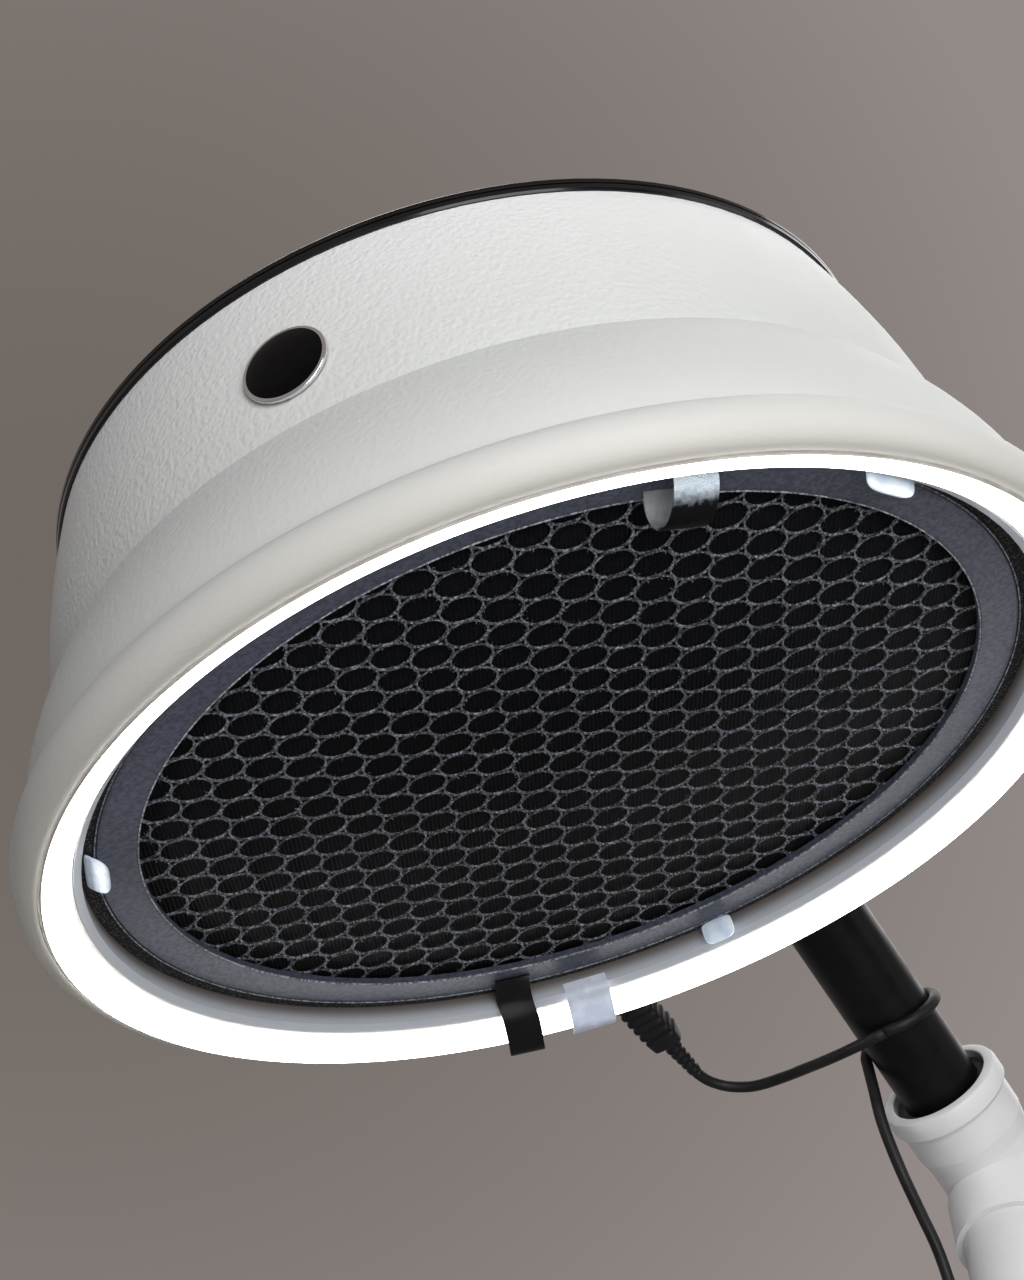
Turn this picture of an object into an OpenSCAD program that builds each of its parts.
/* [Stand] */
// Height of the elbow's centre above the floor
elbow_z = 1490; // [1400:5:1600]
// Radius of the castor circle
leg_reach = 290; // [270:1:320]
// Width of a leg at its tip
leg_tip_w = 34; // [30:1:40]
// Width of a leg where it leaves the hub
leg_root_w = 46; // [40:1:52]
// Radius of the hub
hub_r = 40; // [36:1:46]
// Radius of a castor wheel
wheel_r = 25; // [22:0.5:28]
// Width of one tread of the twin wheel
tread_w = 14; // [10:0.5:16]
// Trail of a castor, from its stem to its axle
trail = 17; // [14:0.5:20]
// Radius of the fixed lower post
post_r = 21; // [19:0.5:21.5]
// Top of the post inside the column
post_top = 1180; // [1120:5:1200]

/* [Column] */
// Radius of the white column tube
column_r = 25; // [24.5:0.1:26]
// Wall of the column tube
column_wall = 3; // [2:0.1:3.2]
// Lower end of the column tube
column_foot = 760; // [720:5:800]
// Height of the clamp collar
collar_h = 34; // [28:1:44]
// Thickness of the clamp collar's wall
collar_wall = 8; // [6:0.5:10]
// Radius of the clamp knob
knob_r = 21; // [17:0.5:24]

/* [Elbow and pole] */
// Angle of the pole above the horizontal
pole_rise = 16.4; // [10:0.1:20]
// Radius of the black pole
pole_r = 20; // [18:0.1:20.5]
// Wall of the pole
pole_wall = 2; // [1.5:0.1:3]
// Distance along the pole from the elbow's centre to the tilt pin
pole_reach = 190; // [184:1:215]
// Height of the tilt pin above the pole's axis
pin_lift = 6; // [4:0.5:8]
// Distance from the elbow's centre to the socket's mouth
socket_reach = 58; // [54:0.5:66]
// Radius of the elbow's rolled lip
lip_r = 31; // [30.5:0.1:33]
// Length of the elbow's lower collar on the column
skirt_len = 44; // [38:1:54]

/* [Hood] */
// Tilt of the hood's axis from the vertical
tilt = 28.6; // [20:0.1:34]
// Outer radius of the lit ring, at the mouth
mouth_r = 212; // [209:1:216]
// How far the rim swells past the mouth
rim_swell = 8; // [6:0.5:9]
// Height of the crease above the rim
rim_h = 22.5; // [20:0.5:25]
// How far the crease between the two tiers stands inside the mouth
waist_in = 20; // [18:0.5:22]
// Height of the crease between the two tiers
waist_h = 78; // [75:0.5:82]
// How far the top of the wall stands inside the crease
top_in = 17; // [14:0.5:19]
// Height of the upper tier
upper_tier = 80; // [76:0.5:88]
// Thickness of the shell
shell_wall = 3; // [2.5:0.1:3.5]
// Height of the glossy top cover's edge
trim_h = 6.5; // [5:0.5:8]
// Radius of the exhaust opening in the top
exhaust_r = 112; // [100:1:120]
// Radius of the round badge
badge_r = 15; // [12:0.5:18]

/* [Light ring] */
// Width of the lit band
strip_w = 14.1; // [12.5:0.1:15]
// Rise of the lit band from its outer to its inner edge
band_rise = 6.2; // [5:0.1:7]
// Thickness of the light strip
band_t = 4.5; // [3.5:0.1:5.5]
// Width of the clear sleeve over the strip's joint
sleeve_w = 19.5; // [15:0.5:24]

/* [Filter] */
// Height of the filter's front ring above the mouth
ring_h = 17; // [15:0.5:19]
// Width of the foam seal round the filter's front ring
seal_w = 6; // [4.5:0.5:8]
// Width of the filter's front ring, from its edge to the net
ring_w = 17; // [13:0.5:22]
// Thickness of the front ring
ring_t = 3; // [2:0.1:4]
// Depth of the filter cassette
cassette_h = 42; // [36:1:46]
// Pitch of the net's cells
net_pitch = 18.8; // [18.8:0.1:22]
// Width of the net's strands
strand_w = 2.4; // [1.8:0.1:3]
// Width of the pull tabs
tab_w = 20; // [16:0.5:24]

/* [Fan] */
// Radius of the impeller
impeller_r = 95; // [88:1:98]
// Height of the impeller's blades
blade_h = 26; // [22:1:28]
// Number of blades
blade_count = 7; // [5:1:9]
// Radius of the fan's inlet
inlet_r = 58; // [52:1:60]

/* [Mains lead] */
// Diameter of the mains lead
lead_d = 5.6; // [5:0.1:6]

/* [Hidden] */
$fn = 96;
eps = 0.01;

// Clearances
run_fit = 0.05;
seat_gap = 0.1;
side_gap = 0.3;

// Stand
leg_count = 5;
leg_angle = 360 / leg_count;
leg_z = 64;
post_foot = leg_z + 12;
leg_root_h = 40;
leg_tip_h = 18;
hub_top = 132;
stem_r = 5.5;
stem_len = 16;
axle_r = 3;
fork_gap = 5;
fork_top = leg_z - 1;

// Column
column_bore = column_r - column_wall;
bush_len = 40;
bush_flange = 3;
guide_len = 40;
collar_z = column_foot + 6;
clamp_z = collar_z + collar_h / 2;
clamp_stem_r = 4;
boss_r = 11;
boss_len = 12;

// Elbow and pole
pole_dir = [0, -cos(pole_rise), sin(pole_rise)];
pole_up = [0, sin(pole_rise), cos(pole_rise)];
socket_bore = 25.3;
elbow_wall = 3.2;
bushing_len = 26;
head_gap = 21;
eye_r = 13;
eye_w = 24;
pin_r = 5;

// Hood frame: origin at the centre of the mouth, z along the hood's axis
pin_out = 20;
pivot_y = mouth_r + pin_out;
pivot_h = 44;
pivot = [0, 0, elbow_z] + pole_reach * pole_dir + pin_lift * pole_up;
mouth = pivot - [0, pivot_y * cos(tilt) - pivot_h * sin(tilt), pivot_y * sin(tilt) + pivot_h * cos(tilt)];

// Hood shell
waist_r = mouth_r - waist_in;
top_r = waist_r - top_in;
wall_top = waist_h + upper_tier;
lip_h = 0.5;
swell_mid = (rim_h + lip_h) / 2;
swell_half = (rim_h - lip_h) / 2;
mid_bow = 1.8;
top_bow = 1.6;
tier_steps = 8;
flange_w = 12;
ledge_h = waist_h + 3;
ledge_t = 3;
deck_r = top_r - 15;
ledge_w = 14;
pad_y = mouth_r;
pad_w = 72;
pad_low = rim_h + 2;
pad_high = waist_h - 2;
band_out_r = mouth_r - side_gap;
band_in_r = band_out_r - strip_w;
liner_r = band_in_r - 3.6;
liner_t = 2;
liner_top = waist_h - 14;

// Tilt bracket
plate_t = 3;
cheek_t = 4;
cheek_x = eye_w / 2 + side_gap;
plate_face = pad_y + plate_t;
plate_w = 64;
plate_low = 27;
plate_high = pad_high - 2;
screw_x = 24;
screw_r = 2.5;
head_h = 2.4;
tilt_stem = 12;
tilt_knob_r = pivot_y - plate_face - head_h - 1;

// Places round the hood, from its right side towards its rear
badge_at = -82.7;
badge_h = waist_h + 27.8;
clip_at = [-19.1, -142.6, 99.4];
sleeve_at = 119;
front_tab_at = -47.5;
rear_tab_at = 129.3;
switch_at = 58;
switch_h = waist_h + 34;

// Power inlet: its axis runs level, to the rear
inlet_x = -99;
inlet_in = 3.94;
inlet_y = sqrt(pow(mouth_r - inlet_in, 2) - pow(inlet_x, 2));
inlet_h = 41;
housing_out = 28;
housing_w = 28;
housing_h = 20;
plug_len = 54;
relief_len = 22;

// Fan
deck_h = ledge_h + ledge_t;
deck_t = 2;
bell_h = 6;
shroud_h = deck_h + deck_t + 5;
back_h = shroud_h + blade_h;
shaft_r = 4;
motor_r = 36;
motor_h = 24;
spider_h = back_h + 6 + motor_h;
leg_at_r = impeller_r + 27;
driver_w = 60;
driver_d = 28;
driver_h = 24;

// Filter
ring_r = liner_r - seal_w;
net_r = ring_r - ring_w;
frame_top = ring_h + cassette_h;
frame_wall = 2;
frame_r = ring_r - 2;
net_t = 1.2;
net_h = ring_h + ring_t;
pad_h = net_h + net_t;
pad_t = 9;
hepa_h = pad_h + pad_t;
hepa_t = 24;
pleat = 12;

// Mains lead: hand-chosen points, from the connector's relief to the coil on the floor
lead_r = lead_d / 2;
lead_sides = 8;
lead_exit = hood_to_world([inlet_x, inlet_y, inlet_h]) + [0, housing_out + plug_len + relief_len, 0];
wrap_r = pole_r + lead_r + 0.3;
wrap_s = 105;
wrap_pitch = 25;
run_route = [
    [-97, -108.4, 1523], [-91.5, -100.6, 1522.5], [-83.7, -95.5, 1521.5], [-75.4, -94, 1519.5],
    [-62, -95.2, 1515.5], [-48, -99, 1509.5], [-34, -103, 1503.5], [-20, -106.2, 1499]
];
drop_route = [
    [-24, -78, 1497], [-25, -73, 1480], [-26, -60, 1462], [-27, -44, 1448], [-28, -28, 1434],
    [-30, -15, 1412], [-31, -8, 1380], [-31, -4, 1300], [-31, -2, 1150], [-32, 0, 1000],
    [-36, 2, 900], [-43, 4, 830], [-44, 6, 760], [-43, 8, 660], [-43, 10, 500],
    [-45, 12, 340], [-50, 16, 220], [-58, 20, 150], [-68, 24, 100], [-84, 30, 58],
    [-104, 38, 24], [-124, 47, 7], [-142, 52, lead_r]
];
// Coil on the floor between two legs
coil_centre = [-172, 14];
coil_r = 38;
coil_pitch = 6.3;
coil_turns = 5.5;
loop_rings = 24;
tail_len = 26;

function unit(v) = v / norm(v);
function hood_to_world(p) = mouth + [p[0], p[1] * cos(tilt) - p[2] * sin(tilt), p[1] * sin(tilt) + p[2] * cos(tilt)];
function polar(r, a) = [r * cos(a), r * sin(a)];

// Shell profile: radius at a height, outside
function mid_r(h) = mouth_r - (mouth_r - waist_r) * pow((h - rim_h) / (waist_h - rim_h), mid_bow);
function upper_r(h) = waist_r - (waist_r - top_r) * pow((h - waist_h) / (wall_top - waist_h), top_bow);
function wall_lean(h) = atan(
    (waist_r - top_r) * top_bow * pow((h - waist_h) / (wall_top - waist_h), top_bow - 1) / (wall_top - waist_h)
);
function curl_r(h) = mouth_r + (rim_swell - shell_wall) * cos(asin((h - swell_mid) / (swell_half - shell_wall)));
function swell(s, a) = [mouth_r + (rim_swell - s) * cos(a), swell_mid + (swell_half - s) * sin(a)];

// Sweep: a tube of n sides along points p
function tangent(p, i) = unit(p[min(i + 1, len(p) - 1)] - p[max(i - 1, 0)]);
function square_to(v, t) = unit(v - (v * t) * t);
function first_normal(p) = square_to(abs(tangent(p, 0)[2]) < 0.9 ? [0, 0, 1] : [1, 0, 0], tangent(p, 0));
function normals(p) = [
    for (i = 0, n = first_normal(p); i < len(p); i = i + 1, n = i < len(p) ? square_to(n, tangent(p, i)) : n) n
];
function tube_points(p, r, n) = let (side = normals(p)) [
    for (i = [0:len(p) - 1]) for (k = [0:n - 1])
        p[i] + r * (cos(360 * k / n) * side[i] + sin(360 * k / n) * cross(tangent(p, i), side[i]))
];
function tube_faces(rings, n) = concat(
    [[for (k = [0:n - 1]) k]],
    [for (i = [0:rings - 2]) for (k = [0:n - 1]) [i * n + k, (i + 1) * n + k, i * n + (k + 1) % n]],
    [for (i = [0:rings - 2]) for (k = [0:n - 1]) [(i + 1) * n + k, (i + 1) * n + (k + 1) % n, i * n + (k + 1) % n]],
    [[for (k = [n - 1:-1:0]) (rings - 1) * n + k]]
);
module tube(p, r, n) {
    polyhedron(points = tube_points(p, r, n), faces = tube_faces(len(p), n), convexity = 8);
}

// Catmull-Rom points halfway between the hand-chosen ones
function between(p, i, t) = let (a = p[max(i - 1, 0)], b = p[i], c = p[i + 1], d = p[min(i + 2, len(p) - 1)])
    0.5 * (2 * b + (c - a) * t + (2 * a - 5 * b + 4 * c - d) * t * t + (3 * b - a - 3 * c + d) * t * t * t);
function smooth(p) = [for (i = [0:2 * (len(p) - 1)]) i % 2 == 0 ? p[i / 2] : between(p, (i - 1) / 2, 0.5)];

// The lead's one turn round the pole, from under it and over its far side
function wrap_point(a) = [0, 0, elbow_z] + (wrap_s - wrap_pitch * (a - 90) / 360) * pole_dir
    + wrap_r * (cos(a) * [-1, 0, 0] - sin(a) * pole_up);
wrap_start = wrap_point(90);
wrap_route = concat([wrap_start, wrap_start + [3, 0, 0]], [for (a = [112.5:22.5:360]) wrap_point(a)]);

// The coil spirals in on the floor, climbs a layer and spirals out again
function coil_step(t) = t < coil_turns / 2 ? t : coil_turns - t;
function climb(t) = let (u = min(1, max(0, (t - coil_turns / 2 + 0.25) / 0.5))) u * u * (3 - 2 * u);
function coil_point(t) = let (r = coil_r - coil_pitch * coil_step(t), a = 90 + 360 * t) concat(
    coil_centre + polar(r, a), [lead_r + coil_pitch * climb(t)]
);
coil_path = [for (k = [0:coil_turns * loop_rings]) coil_point(k / loop_rings)];
coil_end = coil_path[len(coil_path) - 1];
tail_dir = unit(coil_end - coil_path[len(coil_path) - 2]);
coil_start = coil_path[0] + [lead_d, 0, 0];
coil_route = concat([coil_start], coil_path, [coil_end + lead_d * tail_dir, coil_end + tail_len * tail_dir]);
coil_gap = min([
    for (i = [0:len(coil_path) - 1]) for (j = [i + 12:1:len(coil_path) - 1]) norm(coil_path[i] - coil_path[j])
]) - lead_d;
echo(least_gap_of_coil_to_itself = coil_gap);

module in_hood() {
    translate(mouth) rotate([tilt, 0, 0]) children();
}
module on_pole(s) {
    translate([0, 0, elbow_z] + s * pole_dir) rotate([90 - pole_rise, 0, 0]) children();
}
module round_hood(a) {
    rotate([0, 0, a]) children();
}

// ---- Stand ----

module star_leg() {
    intersection() {
        rotate([90, 0, 0]) translate([0, 0, -leg_root_w])
            linear_extrude(2 * leg_root_w)
                polygon([
                    [post_r + 6, leg_z], [leg_reach + leg_tip_w, leg_z],
                    [leg_reach + leg_tip_w, leg_z + leg_tip_h - 4], [leg_reach + 10, leg_z + leg_tip_h],
                    [leg_reach - 40, leg_z + leg_tip_h + 2], [hub_r, leg_z + leg_root_h],
                    [post_r + 6, leg_z + leg_root_h]
                ]);
        union() {
            linear_extrude(hub_top)
                polygon([[0, -leg_root_w / 2], [leg_reach, -leg_tip_w / 2], [leg_reach, leg_tip_w / 2], [0, leg_root_w / 2]]);
            translate([leg_reach, 0, 0]) cylinder(r = leg_tip_w / 2 + 1, h = hub_top);
        }
    }
}
module star_base() {
    color("dimgray") difference() {
        union() {
            for (i = [0:leg_count - 1]) rotate([0, 0, -90 + i * leg_angle]) star_leg();
            translate([0, 0, leg_z - 2]) cylinder(r = hub_r, h = leg_root_h + 8);
            translate([0, 0, leg_z + leg_root_h + 6]) cylinder(r1 = hub_r, r2 = hub_r - 10, h = hub_top - leg_z - leg_root_h - 6);
        }
        translate([0, 0, post_foot]) cylinder(r = post_r + run_fit, h = hub_top);
        for (i = [0:leg_count - 1]) rotate([0, 0, -90 + i * leg_angle]) translate([leg_reach, 0, leg_z - 1])
            cylinder(r = stem_r + run_fit, h = leg_tip_h - 2);
        for (i = [0:leg_count - 1]) rotate([0, 0, -90 + i * leg_angle])
            translate([hub_r + 30, -leg_tip_w / 4, leg_z - 10]) cube([leg_reach - hub_r - 90, leg_tip_w / 2, 18]);
    }
}
module base_post() {
    color("black") translate([0, 0, post_foot]) difference() {
        cylinder(r = post_r, h = post_top - post_foot);
        translate([0, 0, -1]) cylinder(r = post_r - 2, h = post_top);
    }
}
module post_guide() {
    color("whitesmoke") translate([0, 0, post_top]) {
        difference() {
            union() {
                cylinder(r = column_bore - run_fit, h = guide_len);
                translate([0, 0, -20]) cylinder(r = post_r - 2 - run_fit, h = 20 + eps);
            }
            translate([0, 0, -21]) cylinder(r = post_r - 6, h = guide_len + 22);
            for (z = [10, 26]) translate([0, 0, z]) difference() {
                cylinder(r = column_bore + 1, h = 4);
                translate([0, 0, -1]) cylinder(r = column_bore - 1.2, h = 6);
            }
        }
    }
}

// Castors: fork i swivels on its stem, wheel i rolls on the fork's axle
module at_castor(i) {
    rotate([0, 0, -90 + (i - 1) * leg_angle]) translate([leg_reach, 0, 0]) rotate([0, 0, 60]) children();
}
module fork_block() {
    difference() {
        union() {
            translate([0, 0, fork_top - 9]) cylinder(r = 15, h = 9);
            translate([-trail, fork_gap / 2 - eps, wheel_r]) rotate([90, 0, 0]) cylinder(r = wheel_r - 7, h = fork_gap - 2 * eps);
            translate([-trail / 2 - 3, -fork_gap / 2 + eps, wheel_r + 4]) cube([18, fork_gap - 2 * eps, fork_top - wheel_r - 5]);
            intersection() {
                translate([-trail, fork_gap / 2 + tread_w, wheel_r]) rotate([90, 0, 0])
                    cylinder(r = wheel_r + 5, h = fork_gap + 2 * tread_w);
                translate([-trail - wheel_r - 6, -wheel_r, wheel_r + 14]) cube([2 * wheel_r + 12, 2 * wheel_r, wheel_r]);
            }
        }
        for (s = [-1, 1]) translate([-trail, s * (fork_gap / 2 + tread_w / 2 + 0.5), wheel_r]) rotate([90, 0, 0])
            translate([0, 0, -tread_w / 2 - 1]) cylinder(r = wheel_r + 2, h = tread_w + 2);
        translate([-trail, fork_gap, wheel_r]) rotate([90, 0, 0]) cylinder(r = axle_r + run_fit, h = 2 * fork_gap);
    }
}
module castor_fork(i) {
    color("black") at_castor(i) {
        fork_block();
        translate([0, 0, fork_top - 4]) cylinder(r = stem_r, h = 4 + stem_len);
    }
}
module castor_wheel(i) {
    color("gray") at_castor(i) translate([-trail, 0, wheel_r]) rotate([90, 0, 0]) {
        for (s = [-1, 1]) translate([0, 0, s * (fork_gap / 2 + side_gap + tread_w / 2)]) difference() {
            union() {
                cylinder(r = wheel_r, h = tread_w - 4, center = true);
                cylinder(r = wheel_r - 2, h = tread_w, center = true);
            }
            translate([0, 0, s * (tread_w / 2 - 2)]) difference() {
                cylinder(r = wheel_r - 6, h = 6, center = true);
                cylinder(r = 8, h = 8, center = true);
            }
        }
        cylinder(r = axle_r, h = fork_gap + tread_w, center = true);
    }
}

// ---- Column ----

module column_tube() {
    color("white") difference() {
        translate([0, 0, column_foot]) cylinder(r = column_r, h = elbow_z - 14 - column_foot);
        translate([0, 0, column_foot - 1]) cylinder(r = column_bore, h = elbow_z);
        translate([0, 0, clamp_z]) rotate([-90, 0, 0]) cylinder(r = clamp_stem_r + 0.5, h = 2 * column_r, $fn = 48);
    }
}
module column_bush() {
    color("lightgray") difference() {
        union() {
            translate([0, 0, column_foot - bush_flange]) cylinder(r = column_r, h = bush_flange);
            translate([0, 0, column_foot - eps]) cylinder(r = column_bore - run_fit, h = bush_len);
        }
        translate([0, 0, column_foot - bush_flange - 1]) cylinder(r = post_r + run_fit, h = bush_len + 10);
        translate([0, 0, clamp_z]) rotate([-90, 0, 0]) cylinder(r = clamp_stem_r + 0.5, h = 2 * column_r, $fn = 48);
    }
}
module clamp_collar() {
    color("black") difference() {
        union() {
            translate([0, 0, collar_z]) cylinder(r = column_r + collar_wall - 1.5, h = collar_h);
            translate([0, 0, collar_z + 1.5]) cylinder(r = column_r + collar_wall, h = collar_h - 3);
            translate([0, column_r, clamp_z]) rotate([-90, 0, 0]) cylinder(r = boss_r, h = boss_len + collar_wall);
        }
        translate([0, 0, collar_z - 1]) cylinder(r = column_r + run_fit, h = collar_h + 2);
        translate([0, 0, clamp_z]) rotate([-90, 0, 0]) cylinder(r = clamp_stem_r + run_fit, h = 3 * column_r, $fn = 48);
    }
}
module lobed_knob(r, h) {
    difference() {
        union() {
            cylinder(r = r - 1.5, h = h);
            translate([0, 0, 1.5]) cylinder(r = r, h = h - 3);
        }
        for (a = [0:60:300]) rotate([0, 0, a]) translate([r + 5, 0, -1]) cylinder(r = 9, h = h + 2, $fn = 48);
    }
}
module clamp_knob() {
    knob_y = column_r + collar_wall + boss_len + side_gap;
    color("black") translate([0, 0, clamp_z]) rotate([-90, 0, 0]) {
        translate([0, 0, knob_y]) cylinder(r = 10, h = 6);
        translate([0, 0, knob_y + 5]) lobed_knob(knob_r, 16);
        translate([0, 0, post_r + side_gap]) cylinder(r = clamp_stem_r, h = knob_y - post_r, $fn = 48);
    }
}

// ---- Elbow and pole ----

module elbow() {
    neck_r = column_r + elbow_wall - 1.2;
    socket_r = socket_bore + elbow_wall;
    color("whitesmoke") difference() {
        union() {
            translate([0, 0, elbow_z]) sphere(r = neck_r + 0.4);
            translate([0, 0, elbow_z - skirt_len]) cylinder(r = column_r + elbow_wall, h = skirt_len - 18);
            translate([0, 0, elbow_z - 19]) cylinder(r1 = column_r + elbow_wall, r2 = neck_r, h = 6);
            translate([0, 0, elbow_z - 16]) cylinder(r = neck_r, h = 16);
            on_pole(0) cylinder(r = neck_r - 0.1, h = 24);
            on_pole(22) cylinder(r1 = neck_r, r2 = socket_r, h = 9);
            on_pole(30) cylinder(r = socket_r, h = socket_reach - 30 - 4);
            on_pole(socket_reach - 12) rotate_extrude() polygon([
                [socket_r - 1, 0], [lip_r - 1.2, 0.4], [lip_r, 2], [lip_r, 9], [lip_r - 0.9, 11.2],
                [lip_r - 2.6, 12], [socket_bore + 0.6, 12], [socket_bore - 0.5, 11.4], [socket_bore - 0.5, 0]
            ]);
            translate([neck_r - 1.5, 0, elbow_z - 4]) rotate([0, 90, 0]) cylinder(r = 2.2, h = 3, $fn = 32);
        }
        translate([0, 0, elbow_z - skirt_len - 1]) cylinder(r = column_r + run_fit, h = skirt_len + 1 - 14);
        translate([0, 0, elbow_z - 18]) cylinder(r = column_bore - 0.5, h = 18);
        translate([0, 0, elbow_z]) sphere(r = column_bore);
        on_pole(0) cylinder(r = column_bore - 0.7, h = 32);
        on_pole(28) cylinder(r = socket_bore, h = socket_reach);
    }
}
module elbow_bushing() {
    color("black") on_pole(28.5) difference() {
        union() {
            cylinder(r = socket_bore - run_fit, h = bushing_len - 3);
            cylinder(r = socket_bore - 1.5, h = bushing_len);
        }
        translate([0, 0, -1]) cylinder(r = pole_r + run_fit, h = bushing_len + 2);
    }
}
module pole() {
    color("black") on_pole(24) difference() {
        cylinder(r = pole_r, h = pole_reach - head_gap - 24);
        translate([0, 0, -1]) cylinder(r = pole_r - pole_wall, h = pole_reach);
    }
}
module pole_head() {
    color("black") difference() {
        union() {
            on_pole(pole_reach - head_gap) rotate_extrude() polygon([
                [0, -30], [pole_r - pole_wall - run_fit, -30], [pole_r - pole_wall - run_fit, 0], [pole_r, 0],
                [pole_r, 3], [eye_w / 2 - 0.5, 6.5], [0, 6.5]
            ]);
            on_pole(pole_reach - head_gap + 1) translate([-eye_w / 2 + 0.3, pin_lift - eye_r + 0.7, 0])
                cube([eye_w - 0.6, 2 * eye_r - 4, head_gap - 1]);
            translate(pivot) rotate([0, 90, 0]) cylinder(r = eye_r, h = eye_w, center = true);
        }
        translate(pivot) rotate([0, 90, 0]) cylinder(r = pin_r + run_fit, h = 2 * pole_r + 10, center = true);
    }
}

// ---- Tilt joint, in the hood's frame ----

module at_pivot() {
    in_hood() translate([0, pivot_y, pivot_h]) rotate([0, 90, 0]) children();
}
module tilt_bracket() {
    color("black") difference() {
        union() {
            in_hood() translate([-plate_w / 2, pad_y, plate_low]) cube([plate_w, plate_t, plate_high - plate_low]);
            for (s = [-1, 1]) in_hood() translate([s * (cheek_x + cheek_t / 2) - cheek_t / 2, 0, 0])
                rotate([90, 0, 90]) linear_extrude(cheek_t) union() {
                    translate([pivot_y, pivot_h]) circle(r = eye_r);
                    polygon([
                        [pad_y + 1, plate_low + 4], [plate_face + 2, plate_low + 4],
                        [pivot_y, pivot_h - eye_r], [pivot_y + eye_r, pivot_h],
                        [pivot_y, pivot_h + eye_r], [plate_face + 2, plate_high - 4], [pad_y + 1, plate_high - 4]
                    ]);
                }
        }
        at_pivot() cylinder(r = pin_r + run_fit, h = plate_w, center = true);
        for (x = [-screw_x, screw_x]) for (z = [plate_low + 8, plate_high - 8])
            in_hood() translate([x, pad_y - 1, z]) rotate([-90, 0, 0]) cylinder(r = screw_r + 0.3, h = plate_t + 2, $fn = 32);
    }
}
module bracket_screws() {
    color("silver") for (x = [-screw_x, screw_x]) for (z = [plate_low + 8, plate_high - 8])
        in_hood() translate([x, plate_face, z]) rotate([-90, 0, 0]) {
            cylinder(r = 4.5, h = head_h, $fn = 32);
            translate([0, 0, -plate_t - 5]) cylinder(r = screw_r, h = plate_t + 5 + eps, $fn = 32);
        }
}
module tilt_pin() {
    color("silver") at_pivot() {
        translate([0, 0, -cheek_x - cheek_t - 5]) cylinder(r = 8.5, h = 5, $fn = 6);
        translate([0, 0, -cheek_x - cheek_t - eps]) cylinder(r = pin_r, h = 2 * (cheek_x + cheek_t) + tilt_stem);
    }
}
module tilt_knob() {
    color("black") at_pivot() translate([0, 0, cheek_x + cheek_t + side_gap]) difference() {
        union() {
            cylinder(r = 9, h = 6);
            translate([0, 0, 5]) lobed_knob(tilt_knob_r, 14);
        }
        translate([0, 0, -1]) cylinder(r = pin_r + run_fit, h = tilt_stem + 2);
    }
}

// ---- Hood ----

module shell_section() {
    polygon(concat(
        [for (i = [0:10]) swell(0, -90 + 18 * i)],
        [for (i = [1:tier_steps]) let (h = rim_h + (waist_h - rim_h) * i / tier_steps) [mid_r(h), h]],
        [for (i = [1:tier_steps]) let (h = waist_h + (wall_top - waist_h) * i / tier_steps) [upper_r(h), h]],
        [
            [top_r - flange_w, wall_top], [top_r - flange_w, wall_top - shell_wall],
            [upper_r(wall_top - shell_wall) - shell_wall, wall_top - shell_wall]
        ],
        [for (i = [tier_steps - 1:-1:2]) let (h = waist_h + (wall_top - waist_h) * i / tier_steps) [upper_r(h) - shell_wall, h]],
        [
            [upper_r(deck_h) - shell_wall, deck_h], [deck_r - ledge_w, deck_h],
            [deck_r - ledge_w, ledge_h], [upper_r(ledge_h) - shell_wall, ledge_h]
        ],
        [for (i = [tier_steps:-1:0]) let (h = rim_h + (waist_h - rim_h) * i / tier_steps) [mid_r(h) - shell_wall, h]],
        [for (i = [8:-1:0]) swell(shell_wall, -90 + 18 * i)]
    ));
}
module inlet_axis() {
    translate([inlet_x, inlet_y, inlet_h]) rotate([-90 - tilt, 0, 0]) children();
}
module switch_axis() {
    round_hood(switch_at) translate([upper_r(switch_h), 0, switch_h]) rotate([0, 90 - wall_lean(switch_h), 0]) children();
}
module hood_shell() {
    color("whitesmoke") in_hood() difference() {
        union() {
            rotate_extrude($fn = 180) shell_section();
            // Flat pad for the tilt bracket
            difference() {
                translate([-pad_w / 2, pad_y - 30, pad_low]) cube([pad_w, 30, pad_high - pad_low]);
                rotate_extrude($fn = 180) polygon(concat(
                    [[0, rim_h]],
                    [for (i = [0:tier_steps]) let (h = rim_h + (waist_h - rim_h) * i / tier_steps) [mid_r(h) - shell_wall / 2, h]],
                    [[0, waist_h]]
                ));
            }
        }
        inlet_axis() translate([-housing_w / 2 + 3, -housing_h / 2 + 3, -40]) cube([housing_w - 6, housing_h - 6, 60]);
        switch_axis() translate([-10, -7, -12]) cube([20, 14, 24]);
        for (x = [-screw_x, screw_x]) for (z = [plate_low + 8, plate_high - 8])
            translate([x, pad_y - 6, z]) rotate([-90, 0, 0]) cylinder(r = screw_r + run_fit, h = 8, $fn = 32);
        for (a = [30:60:330]) rotate([0, 0, a]) translate([top_r - flange_w / 2 - 2, 0, wall_top - 10])
            cylinder(r = 2, h = 20, $fn = 24);
    }
}
module inner_liner() {
    band_top = band_rise + band_t;
    color("lavender") in_hood() rotate_extrude($fn = 180) polygon([
        [band_in_r - 0.3, band_rise + 1], [liner_r, band_rise + 3.5], [liner_r, liner_top],
        [liner_r + liner_t, liner_top], [liner_r + liner_t, band_top + 4.5], [band_in_r + 1, band_top + 3.4],
        [curl_r(8) - side_gap, 8], [curl_r(6.3) - side_gap, 6.3], [mouth_r - side_gap, band_t + 1.6],
        [band_in_r + 0.8, band_top + 1.5], [band_in_r - 0.3, band_top + 0.4]
    ]);
}
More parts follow.
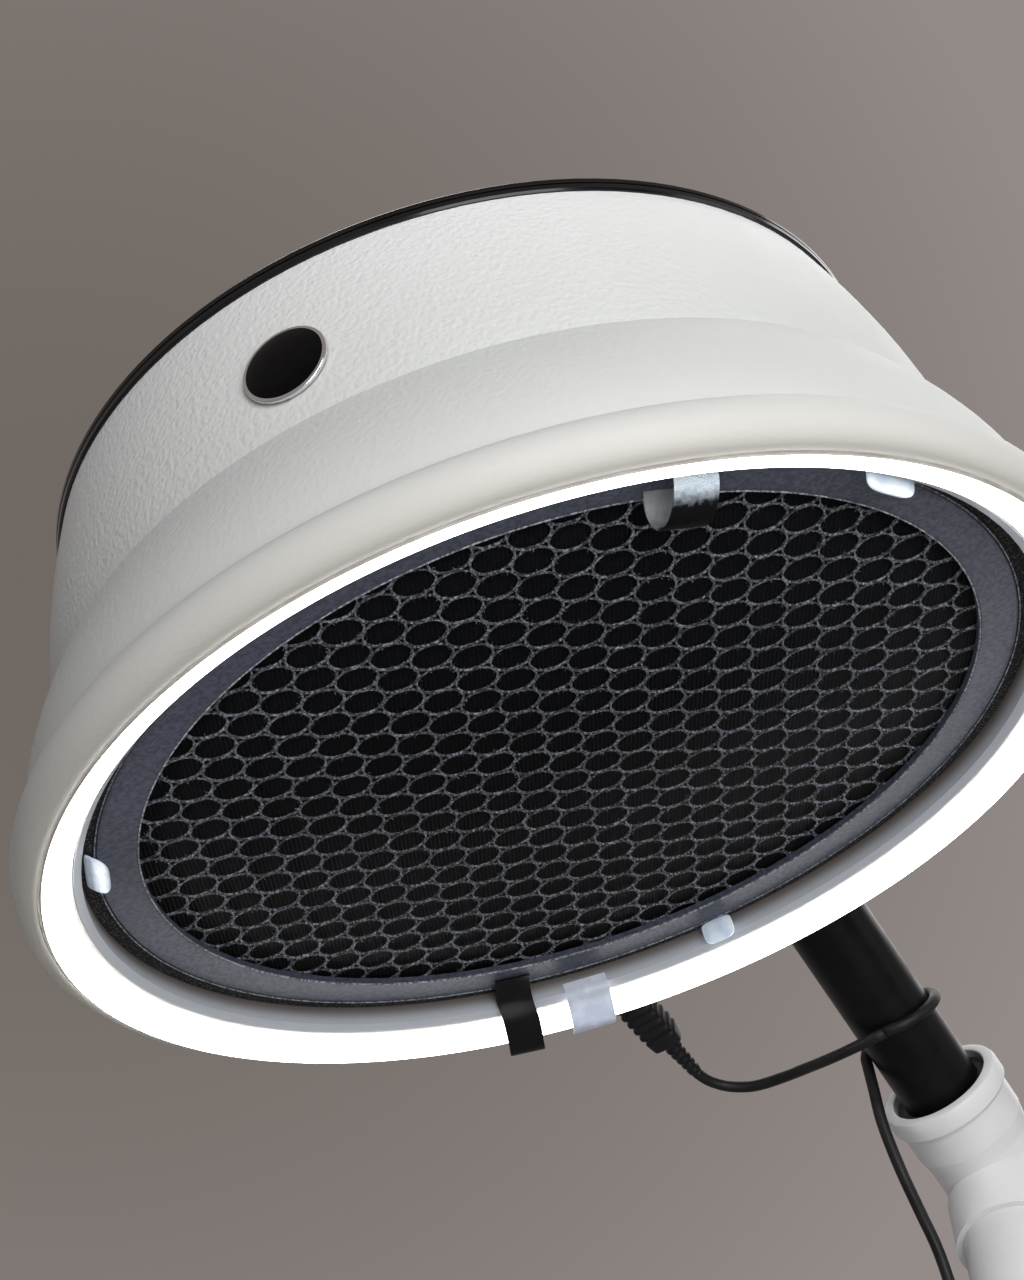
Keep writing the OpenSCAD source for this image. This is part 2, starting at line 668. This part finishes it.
module top_cover() {
    cover_r = top_r + 1.2;
    seat = wall_top + seat_gap;
    color("black") in_hood() difference() {
        rotate_extrude($fn = 180) polygon([
            [exhaust_r, seat], [cover_r - 0.6, seat], [cover_r, seat + 0.8], [cover_r, seat + trim_h * 0.42],
            [cover_r - 1, seat + trim_h * 0.5], [cover_r, seat + trim_h * 0.58], [cover_r, seat + trim_h - 1.2],
            [cover_r - 1.2, seat + trim_h], [cover_r - 16, seat + trim_h], [exhaust_r + 6, seat + trim_h - 2.5],
            [exhaust_r, seat + trim_h - 2.5]
        ]);
        for (a = [30:60:330]) rotate([0, 0, a]) translate([top_r - flange_w / 2 - 2, 0, wall_top - 10])
            cylinder(r = 2, h = 40, $fn = 24);
    }
}
module top_grille() {
    seat = wall_top + seat_gap;
    grille_r = exhaust_r - side_gap;
    grille_t = 3;
    bars = 5;
    step = (grille_r - 8 - 26) / bars;
    color("black") in_hood() translate([0, 0, seat + trim_h - 2.5 - grille_t]) {
        difference() {
            cylinder(r = grille_r, h = grille_t);
            translate([0, 0, -1]) cylinder(r = grille_r - 6, h = grille_t + 2);
        }
        // Three lugs carry the grille over the cover's opening
        for (a = [0:120:240]) rotate([0, 0, a]) translate([grille_r - 6, -8, grille_t]) cube([11, 16, 1.5]);
        for (i = [0:bars - 1]) let (r = 30 + step * i) difference() {
            cylinder(r = r + 2.6, h = grille_t);
            translate([0, 0, -1]) cylinder(r = r, h = grille_t + 2);
        }
        for (a = [0:30:330]) rotate([0, 0, a]) translate([20, -1.5, 0]) cube([grille_r - 23, 3, grille_t]);
        cylinder(r = 22, h = grille_t);
    }
}
module badge() {
    color("black") in_hood() round_hood(badge_at) translate([upper_r(badge_h) + seat_gap, 0, badge_h])
        rotate([0, 90 - wall_lean(badge_h), 0]) rotate_extrude() polygon([
            [0, 0], [badge_r, 0], [badge_r, 0.9], [badge_r - 0.9, 1.5], [badge_r * 0.75, 2.3], [badge_r * 0.4, 2.9], [0, 3.1]
        ]);
}

// ---- Fan and wiring ----

module fan_deck() {
    color("silver") in_hood() difference() {
        union() {
            translate([0, 0, deck_h]) cylinder(r = deck_r, h = deck_t);
            translate([0, 0, deck_h]) cylinder(r = inlet_r + 2, h = deck_t + bell_h);
        }
        translate([0, 0, deck_h - 1]) cylinder(r = inlet_r, h = 20);
    }
}
module fan_bracket() {
    color("silver") in_hood() {
        difference() {
            union() {
                translate([0, 0, spider_h]) cylinder(r = motor_r + 8, h = 3);
                for (a = [45:90:315]) rotate([0, 0, a]) translate([motor_r, -9, spider_h]) cube([leg_at_r - motor_r + 4, 18, 3]);
            }
            translate([0, 0, spider_h - 1]) cylinder(r = 12, h = 6);
        }
        for (a = [45:90:315]) rotate([0, 0, a]) translate([leg_at_r, -9, deck_h + deck_t])
            cube([3, 18, spider_h - deck_h - deck_t + eps]);
        for (a = [45:90:315]) rotate([0, 0, a]) translate([leg_at_r, -9, deck_h + deck_t]) cube([14, 18, 2.5]);
    }
}
module fan_motor() {
    color("dimgray") in_hood() {
        translate([0, 0, back_h + 6]) cylinder(r = motor_r, h = motor_h);
        translate([0, 0, back_h + 3.5]) cylinder(r = 14, h = 3);
        translate([0, 0, back_h - 12]) cylinder(r = shaft_r, h = 18);
        for (i = [0:5]) translate([0, 0, back_h + 9 + 3 * i]) cylinder(r = motor_r + 1.5, h = 1.2);
    }
}
module blade() {
    arc_r = 62;
    linear_extrude(blade_h + 2 * eps) intersection() {
        difference() {
            circle(r = impeller_r - 2);
            circle(r = inlet_r + 6);
        }
        translate([28, 46]) difference() {
            circle(r = arc_r);
            circle(r = arc_r - 1.8);
        }
        translate([0, -120]) square([150, 120]);
    }
}
module impeller() {
    color("dimgray") in_hood() {
        difference() {
            union() {
                translate([0, 0, back_h]) cylinder(r = impeller_r, h = 2);
                translate([0, 0, back_h - 14]) cylinder(r1 = 8, r2 = 16, h = 14 + eps);
            }
            translate([0, 0, back_h - 20]) cylinder(r = shaft_r + run_fit, h = 30);
        }
        difference() {
            translate([0, 0, shroud_h - 2]) cylinder(r = impeller_r, h = 2);
            translate([0, 0, shroud_h - 3]) cylinder(r = inlet_r + 4, h = 4);
        }
        for (i = [0:blade_count - 1]) rotate([0, 0, i * 360 / blade_count]) translate([0, 0, shroud_h - eps]) blade();
    }
}
module driver_box() {
    color("ghostwhite") in_hood() round_hood(180) translate([deck_r - 33, -driver_w / 2, deck_h + deck_t]) difference() {
        cube([driver_d, driver_w, driver_h]);
        for (y = [8:6:driver_w - 10]) translate([-1, y, driver_h - 10]) cube([3, 2.4, 8]);
    }
}
module power_inlet() {
    neck = 0.3;
    color("black") in_hood() union() {
        difference() {
            inlet_axis() translate([-housing_w / 2, -housing_h / 2, -12]) linear_extrude(housing_out + 12) polygon([
                [3, 0], [housing_w - 3, 0], [housing_w, 3], [housing_w, housing_h - 3],
                [housing_w - 3, housing_h], [3, housing_h], [0, housing_h - 3], [0, 3]
            ]);
            rotate_extrude($fn = 180) polygon([
                [0, rim_h - 4], [mid_r(rim_h) + neck, rim_h - 4], [mid_r(rim_h + 11) + neck, rim_h + 11],
                [mid_r(rim_h + 22) + neck, rim_h + 22], [mid_r(rim_h + 33) + neck, rim_h + 33],
                [mid_r(waist_h - 11.5) + neck, waist_h - 11.5], [0, waist_h - 11.5]
            ]);
        }
        difference() {
            inlet_axis() translate([-housing_w / 2 + 3.3, -housing_h / 2 + 3.3, -18])
                cube([housing_w - 6.6, housing_h - 6.6, housing_out + 10]);
            cylinder(r = liner_r + liner_t + 1, h = waist_h);
        }
    }
}
module switch_body() {
    color("black") in_hood() switch_axis() difference() {
        union() {
            translate([-9.7, -6.7, -11]) cube([19.4, 13.4, 12.5]);
            translate([-12, -9, 0.6]) cube([24, 18, 2]);
        }
        translate([-8, -5, -3]) cube([16, 10, 8]);
    }
}
module switch_rocker() {
    key_w = 9.4;
    color("black") in_hood() switch_axis() translate([0, 0, 0.6]) rotate([0, -9, 0]) rotate([90, 0, 0])
        translate([0, 0, -key_w / 2]) {
            linear_extrude(key_w) polygon([[-7, 1], [0, -1.6], [7, 1], [7, 3.6], [0, 2.4], [-7, 3.6]]);
            cylinder(r = 2.2, h = key_w, $fn = 32);
        }
}

// ---- Light ring ----

module led_strip() {
    color("white") in_hood() rotate_extrude($fn = 180) polygon(concat(
        [for (i = [0:6]) let (t = i / 6) [band_out_r - strip_w * t, band_rise * t - 1.2 * sin(180 * t)]],
        [[band_in_r + 0.8, band_rise + band_t], [band_out_r, band_t]]
    ));
}
module led_channel() {
    color("silver") in_hood() rotate_extrude($fn = 180) polygon([
        [band_out_r, band_t + seat_gap], [band_in_r + 0.8, band_rise + band_t + seat_gap],
        [band_in_r + 0.8, band_rise + band_t + 1.3], [band_out_r, band_t + 1.3]
    ]);
}
module led_sleeve() {
    color("white", 0.7) in_hood() round_hood(sleeve_at) intersection() {
        rotate_extrude($fn = 180) polygon([
            [band_out_r + 3, -1.2], [band_out_r + 3, -2.6], [band_out_r - strip_w * 0.5, band_rise * 0.5 - 3],
            [band_in_r - 1.6, band_rise - 2.2], [liner_r - 1.2, band_rise + 2.6], [liner_r - 1.2, ring_h - 3],
            [liner_r - seat_gap, ring_h - 3], [liner_r - seat_gap, band_rise + 3.2],
            [band_in_r - 0.9, band_rise - 0.4], [band_out_r - strip_w * 0.5, band_rise * 0.5 - 1.7]
        ]);
        translate([0, -sleeve_w / 2, -mouth_r]) cube([2 * mouth_r, sleeve_w, 2 * mouth_r]);
    }
}
module foam_seal() {
    color("dimgray") in_hood() translate([0, 0, ring_h + 1]) difference() {
        cylinder(r = liner_r - seat_gap, h = 9, $fn = 180);
        translate([0, 0, -1]) cylinder(r = ring_r + side_gap, h = 11, $fn = 180);
    }
}

// ---- Filter cassette ----

module filter_frame() {
    color("darkslategray") in_hood() rotate_extrude($fn = 180) polygon([
        [net_r, ring_h + 0.8], [net_r + 1, ring_h], [ring_r - 1.2, ring_h], [ring_r, ring_h + 1.2], [ring_r, net_h],
        [frame_r, net_h], [frame_r, frame_top], [frame_r - frame_wall, frame_top],
        [frame_r - frame_wall, net_h], [net_r, net_h]
    ]);
}
module filter_net() {
    rows = ceil(net_r / (net_pitch * sin(60)));
    disc_r = frame_r - frame_wall - side_gap;
    cell_r = (net_pitch - strand_w) / 2 / cos(30);
    color("gainsboro") in_hood() translate([0, 0, net_h]) rotate([0, 0, -3.7]) linear_extrude(net_t) difference() {
        circle(r = disc_r);
        for (j = [-rows:rows]) for (i = [-rows:rows])
            let (p = [net_pitch * (i + (abs(j) % 2) / 2), net_pitch * sin(60) * j])
                if (norm(p) < net_r - cell_r) translate(p) rotate([0, 0, 30]) circle(r = cell_r, $fn = 6);
    }
}
module carbon_pad() {
    color("black") in_hood() translate([0, 0, pad_h]) cylinder(r = frame_r - frame_wall - side_gap, h = pad_t);
}
module hepa_pack() {
    r = frame_r - frame_wall - side_gap;
    n = floor(r / pleat);
    color("white") in_hood() translate([0, 0, hepa_h]) intersection() {
        cylinder(r = r, h = hepa_t);
        rotate([90, 0, 0]) translate([0, 0, -r - 1]) linear_extrude(2 * r + 2) polygon(concat(
            [[-r - 5, 0], [r + 5, 0], [r + 5, hepa_t]],
            [for (i = [2 * n:-1:-2 * n]) [pleat * i / 2, i % 2 == 0 ? hepa_t : hepa_t - 6]],
            [[-r - 5, hepa_t]]
        ));
    }
}
module filter_clips() {
    color("white", 0.8) in_hood() for (a = clip_at) round_hood(a) translate([0, -9, 0]) rotate([90, 0, 0])
        translate([0, 0, -18]) linear_extrude(18) polygon([
            [ring_r - 12, ring_h - 2], [ring_r - 11, ring_h - 3.4], [ring_r + 1, ring_h - 3.8], [ring_r + 3.6, ring_h - 2.4],
            [ring_r + 3.6, ring_h + 0.6], [ring_r + 2.2, ring_h + 0.6], [ring_r + 2.2, ring_h - 1.2],
            [ring_r + 1, ring_h - seat_gap], [ring_r - 12, ring_h - seat_gap]
        ]);
}
// A loop of folded tape, drawn on its edge
module tape_loop(p) {
    rotate([90, 0, 0]) translate([0, 0, -tab_w / 2]) linear_extrude(tab_w) difference() {
        polygon(p);
        offset(delta = -1.3) polygon(p);
    }
}
module pull_tab_front() {
    color("lightgray") in_hood() round_hood(front_tab_at) tape_loop([
        [ring_r + 1.5, ring_h - seat_gap], [ring_r + 1.5, ring_h - 2.5], [ring_r - 2, ring_h - 7.5],
        [ring_r - 8, ring_h - 11.5], [ring_r - 16, ring_h - 12.6], [ring_r - 20, ring_h - 10.5],
        [ring_r - 20.4, ring_h - 7], [ring_r - 17, ring_h - 3], [ring_r - 10, ring_h - seat_gap]
    ]);
}
module pull_tab_rear() {
    color("black") in_hood() round_hood(rear_tab_at) tape_loop([
        [ring_r - 10, ring_h - seat_gap], [ring_r - 10, ring_h - 3.4], [ring_r + 3, ring_h - 7], [band_in_r - 1, band_rise - 6],
        [mouth_r - 4, -6], [mouth_r + 3, -8.5], [mouth_r + 6.5, -7.6], [mouth_r + 6.5, -5],
        [mouth_r + 3, -3.4], [mouth_r - 6, -2.4], [band_in_r - 2, band_rise - 1.6], [ring_r + 3, ring_h - 3.2],
        [ring_r - 2, ring_h - seat_gap]
    ]);
}

// ---- Mains lead ----

module lead_connector() {
    z0 = housing_out + seat_gap;
    color("black") in_hood() inlet_axis() {
        translate([0, 0, z0]) linear_extrude(plug_len - 14) square([18, 12], center = true);
        for (i = [0:4]) translate([0, 0, z0 + 14 + 4.6 * i]) linear_extrude(2.2) square([19.6, 13.6], center = true);
        translate([0, 0, z0 + plug_len - 14 - eps]) linear_extrude(14 - seat_gap) polygon([
            [-7.5, -6], [7.5, -6], [9, -4], [9, 4], [7.5, 6], [-7.5, 6], [-9, 4], [-9, -4]
        ]);
    }
}
module lead_relief() {
    z0 = housing_out + plug_len + seat_gap;
    ribs = 4;
    color("black") in_hood() inlet_axis() {
        translate([0, 0, z0]) cylinder(r1 = 5.2, r2 = lead_r + 0.6, h = relief_len - 2 * seat_gap, $fn = 48);
        for (i = [0:ribs - 1]) translate([0, 0, z0 + 2.5 + 4.4 * i]) cylinder(r = 5.8 - 0.4 * i, h = 2, $fn = 48);
    }
}
module lead_run() {
    straight = lead_exit + [0, lead_r, 0];
    near_end = wrap_start - [lead_d, 0, 0];
    color("black") tube(
        concat([lead_exit], smooth(concat([straight], run_route, [near_end])), [wrap_start - [side_gap, 0, 0]]),
        lead_r, lead_sides
    );
}
module lead_drop() {
    near_end = coil_start + [2 * lead_d, 0, 0];
    color("black") tube(concat(wrap_route, smooth(concat(drop_route, [near_end])), [coil_start]), lead_r, lead_sides);
}
module lead_coil() {
    color("black") tube(coil_route, lead_r, 6);
}
plug_at = coil_end + (tail_len + seat_gap) * tail_dir;
module at_plug() {
    translate(plug_at) rotate([0, 0, atan2(tail_dir[1], tail_dir[0])]) rotate([0, 90, 0]) children();
}
module lead_plug() {
    color("black") at_plug() {
        cylinder(r1 = lead_r + 0.6, r2 = 5.5, h = 22, $fn = 48);
        translate([0, 0, 21]) linear_extrude(30) polygon([
            [-6, -12], [-2, -15], [4, -17], [6, -16], [6, 16], [4, 17], [-2, 15], [-6, 12]
        ]);
    }
}
module plug_pins() {
    color("silver") at_plug() for (s = [-1, 1]) translate([0, s * 9.3, 51 - eps]) {
        cylinder(r = 2, h = 19, $fn = 48);
    }
}

star_base();
base_post();
post_guide();
castor_fork(1);  // castor_fork_1
castor_fork(2);  // castor_fork_2
castor_fork(3);  // castor_fork_3
castor_fork(4);  // castor_fork_4
castor_fork(5);  // castor_fork_5
castor_wheel(1);  // castor_wheel_1
castor_wheel(2);  // castor_wheel_2
castor_wheel(3);  // castor_wheel_3
castor_wheel(4);  // castor_wheel_4
castor_wheel(5);  // castor_wheel_5
column_tube();
column_bush();
clamp_collar();
clamp_knob();
elbow();
elbow_bushing();
pole();
pole_head();
tilt_pin();
tilt_knob();
tilt_bracket();
bracket_screws();
hood_shell();
inner_liner();
top_cover();
top_grille();
badge();
fan_deck();
fan_bracket();
fan_motor();
impeller();
driver_box();
power_inlet();
switch_body();
switch_rocker();
led_channel();
led_strip();
led_sleeve();
foam_seal();
filter_frame();
filter_net();
carbon_pad();
hepa_pack();
filter_clips();
pull_tab_front();
pull_tab_rear();
lead_connector();
lead_relief();
lead_run();
lead_drop();
lead_coil();
lead_plug();
plug_pins();
